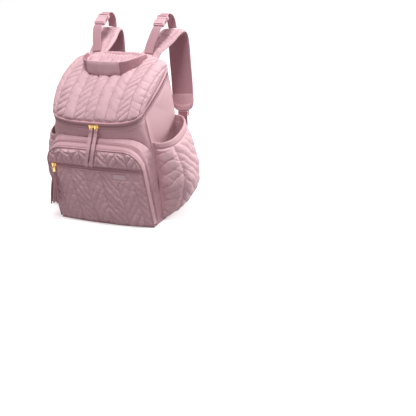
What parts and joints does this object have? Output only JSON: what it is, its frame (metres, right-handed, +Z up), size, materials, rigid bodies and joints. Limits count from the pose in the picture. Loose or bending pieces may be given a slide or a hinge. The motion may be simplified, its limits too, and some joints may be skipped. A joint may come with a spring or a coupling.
{
  "type": "diaper bag",
  "caption": "Quilted dusty-rose backpack with a rounded zip-open lid, fold-down front pocket, bulging side pockets, carry handle, looped straps and buckled handlebar clips.",
  "frame": {"origin": "centre of the whole bag's box, at the face that it stands on", "axes": "+Z up, -Y the front of the bag, +X to the viewer's right when facing the front"},
  "size_m": [0.4188, 0.3372, 0.4864],
  "materials": {
    "rose_nylon": "smooth woven nylon, dusty rose",
    "quilted_nylon": "quilted woven nylon, dusty rose",
    "zip_tape": "ribbed woven tape, dark mauve",
    "leather_look": "smooth leather look, stitched",
    "gold_metal": "polished light gold",
    "lining_cloth": "plain woven, pale",
    "stiff_board": "stiff board, matt",
    "buckle_plastic": "moulded, satin",
    "strap_webbing": "woven webbing"
  },
  "bodies": {
    "bag": {"base_panel": "rose_nylon", "front_wall": "rose_nylon", "side_gusset_right": "rose_nylon", "side_gusset_left": "rose_nylon", "back_panel": "rose_nylon", "back_padding": "rose_nylon", "base_board": "stiff_board", "lining": "lining_cloth", "inner_pocket": "lining_cloth", "body_zip_tape": "zip_tape", "side_pocket_right": "quilted_nylon", "side_pocket_left": "quilted_nylon", "side_pocket_hem_right": "rose_nylon", "side_pocket_hem_left": "rose_nylon", "pocket_gusset": "rose_nylon", "pocket_zip_tape": "zip_tape", "top_yoke": "rose_nylon", "shoulder_strap_right": "quilted_nylon", "shoulder_strap_left": "quilted_nylon", "strap_webbing_right": "strap_webbing", "strap_webbing_left": "strap_webbing", "strap_adjuster_right": "buckle_plastic", "strap_adjuster_left": "buckle_plastic", "webbing_anchor_right": "rose_nylon", "webbing_anchor_left": "rose_nylon", "buckle_socket_right": "buckle_plastic", "buckle_socket_left": "buckle_plastic", "clip_webbing_right": "rose_nylon", "clip_webbing_left": "rose_nylon"},
    "lid": {"lid_panel": "quilted_nylon", "lid_zip_tape": "zip_tape", "lid_piping": "rose_nylon"},
    "handle": {"handle_band": "rose_nylon", "handle_sleeve": "leather_look"},
    "main_slider_left": {"main_slider_left": "gold_metal"},
    "main_slider_right": {"main_slider_right": "gold_metal"},
    "main_pull_left": {"main_ring_left": "gold_metal", "main_pull_left": "leather_look"},
    "main_pull_right": {"main_ring_right": "gold_metal", "main_pull_right": "leather_look"},
    "pocket_front": {"pocket_panel_lower": "quilted_nylon", "pocket_panel_upper": "quilted_nylon", "panel_zip_tape": "zip_tape", "pocket_panel_lining": "lining_cloth", "panel_piping": "rose_nylon", "pocket_front_strip": "rose_nylon", "label_tab": "leather_look"},
    "pocket_slider": {"pocket_slider": "gold_metal"},
    "pocket_tassel": {"pocket_tassel_cap": "gold_metal", "pocket_tassel": "leather_look"},
    "panel_slider": {"panel_slider": "gold_metal"},
    "panel_tassel": {"panel_tassel_cap": "gold_metal", "panel_tassel": "leather_look"},
    "clip_right": {"buckle_plug_right": "buckle_plastic", "loop_webbing_right": "rose_nylon"},
    "clip_left": {"buckle_plug_left": "buckle_plastic", "loop_webbing_left": "rose_nylon"}
  },
  "joints": [
    {"name": "lid_open", "type": "hinge", "parent": "bag", "child": "lid", "pos_m": [0, 0.03728, 0.4], "axis": [-1, 0, 0], "range_deg": [0, 60]},
    {"name": "handle_lift", "type": "hinge", "parent": "lid", "child": "handle", "pos_m": [0, 0.02477, 0.396], "axis": [-1, 0, 0], "range_deg": [0, 45]},
    {"name": "main_zip_left", "type": "slide", "parent": "lid", "child": "main_slider_left", "axis": [-1, 0, 0], "range_m": [0, 0.06]},
    {"name": "main_zip_right", "type": "slide", "parent": "lid", "child": "main_slider_right", "axis": [1, 0, 0], "range_m": [0, 0.045]},
    {"name": "main_pull_swing_left", "type": "hinge", "parent": "main_slider_left", "child": "main_pull_left", "pos_m": [0.0015, -0.14422, 0.269], "axis": [-1, 0, 0], "range_deg": [0, 100]},
    {"name": "main_pull_swing_right", "type": "hinge", "parent": "main_slider_right", "child": "main_pull_right", "pos_m": [0.0165, -0.14422, 0.269], "axis": [-1, 0, 0], "range_deg": [0, 100]},
    {"name": "pocket_open", "type": "hinge", "parent": "bag", "child": "pocket_front", "pos_m": [0, -0.14433, 0.003], "axis": [1, 0, 0], "range_deg": [0, 70], "deforming": ["main_pull_left", "main_pull_right"]},
    {"name": "pocket_zip", "type": "slide", "parent": "bag", "child": "pocket_slider", "axis": [0, -0.1137, 0.9935], "range_m": [-0.06, 0.01]},
    {"name": "pocket_tassel_swing", "type": "hinge", "parent": "pocket_slider", "child": "pocket_tassel", "pos_m": [-0.14867, -0.1329, 0.148], "axis": [0, 1, 0], "range_deg": [0, 100]},
    {"name": "panel_zip", "type": "slide", "parent": "pocket_front", "child": "panel_slider", "axis": [1, 0, 0], "range_m": [0, 0.24]},
    {"name": "panel_tassel_swing", "type": "hinge", "parent": "panel_slider", "child": "panel_tassel", "pos_m": [-0.122, -0.15971, 0.162], "axis": [-1, 0, 0], "range_deg": [0, 100]},
    {"name": "clip_release_right", "type": "hinge", "parent": "bag", "child": "clip_right", "pos_m": [0, 0.12118, 0.4396], "axis": [-1, 0, 0], "range_deg": [0, 70], "deforming": ["loop_webbing_right"]},
    {"name": "clip_release_left", "type": "hinge", "parent": "bag", "child": "clip_left", "pos_m": [0, 0.12118, 0.4396], "axis": [-1, 0, 0], "range_deg": [0, 70], "deforming": ["loop_webbing_left"]}
  ]
}
